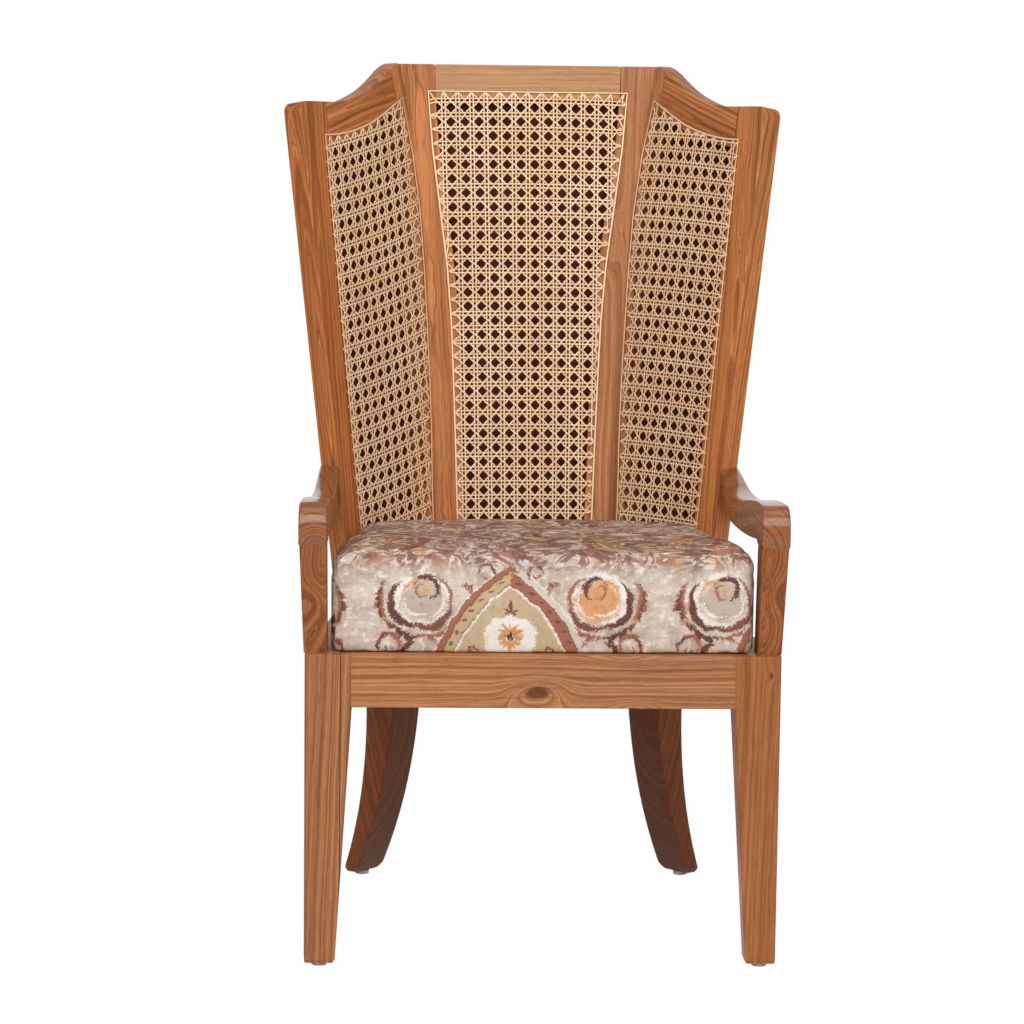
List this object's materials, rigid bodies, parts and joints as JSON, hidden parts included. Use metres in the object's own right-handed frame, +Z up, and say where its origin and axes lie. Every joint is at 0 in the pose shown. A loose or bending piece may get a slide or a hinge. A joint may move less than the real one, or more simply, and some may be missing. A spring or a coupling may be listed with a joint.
{
  "type": "wing chair",
  "caption": "High-backed wing chair with a tapered-leg timber frame, caned centre and wing panels, scooped open arms and a thick loose boxed seat cushion.",
  "frame": {"origin": "on the floor under the middle of the chair's overall box", "axes": "+Z up, -Y towards the sitter's front, +X to the right as seen from the front"},
  "size_m": [0.658, 0.6714, 1.108],
  "materials": {
    "teak": "satin lacquer",
    "teak_board": "dark satin lacquer",
    "cane": "natural, lightly sealed",
    "printed_fabric": "printed cotton",
    "foam": "matt",
    "plywood": "raw",
    "hidden_wood": "raw",
    "screw_steel": "zinc plated",
    "glide_plastic": "moulded"
  },
  "bodies": {
    "root": {"front_leg_left": "teak", "front_leg_right": "teak", "rear_leg_left": "teak", "rear_leg_right": "teak", "side_seat_rail_left": "teak", "side_seat_rail_right": "teak", "corner_seat_rail_left": "teak", "corner_seat_rail_right": "teak", "inner_stile_left": "teak", "inner_stile_right": "teak", "outer_stile_left": "teak", "outer_stile_right": "teak", "wing_top_rail_left": "teak", "wing_top_rail_right": "teak", "wing_bottom_rail_left": "teak", "wing_bottom_rail_right": "teak", "arm_left": "teak", "arm_right": "teak", "arm_post_left": "teak", "arm_post_right": "teak", "front_seat_rail": "teak", "rear_seat_rail": "teak", "centre_top_rail": "teak", "centre_bottom_rail": "teak", "cane_centre": "cane", "cane_wing_left": "cane", "cane_wing_right": "cane", "binder_centre": "cane", "binder_wing_left": "cane", "binder_wing_right": "cane", "back_board_centre": "teak_board", "back_board_wing_left": "teak_board", "back_board_wing_right": "teak_board", "seat_cushion": "printed_fabric", "seat_foam": "foam", "seat_board": "plywood", "seat_cleats": "hidden_wood", "corner_block_left": "hidden_wood", "corner_block_right": "hidden_wood", "frame_dowels": "hidden_wood", "arm_dowels": "hidden_wood", "block_screws": "screw_steel", "rear_leg_screws": "screw_steel", "front_glide_left": "glide_plastic", "front_glide_right": "glide_plastic", "rear_glide_left": "glide_plastic", "rear_glide_right": "glide_plastic"}
  },
  "joints": []
}
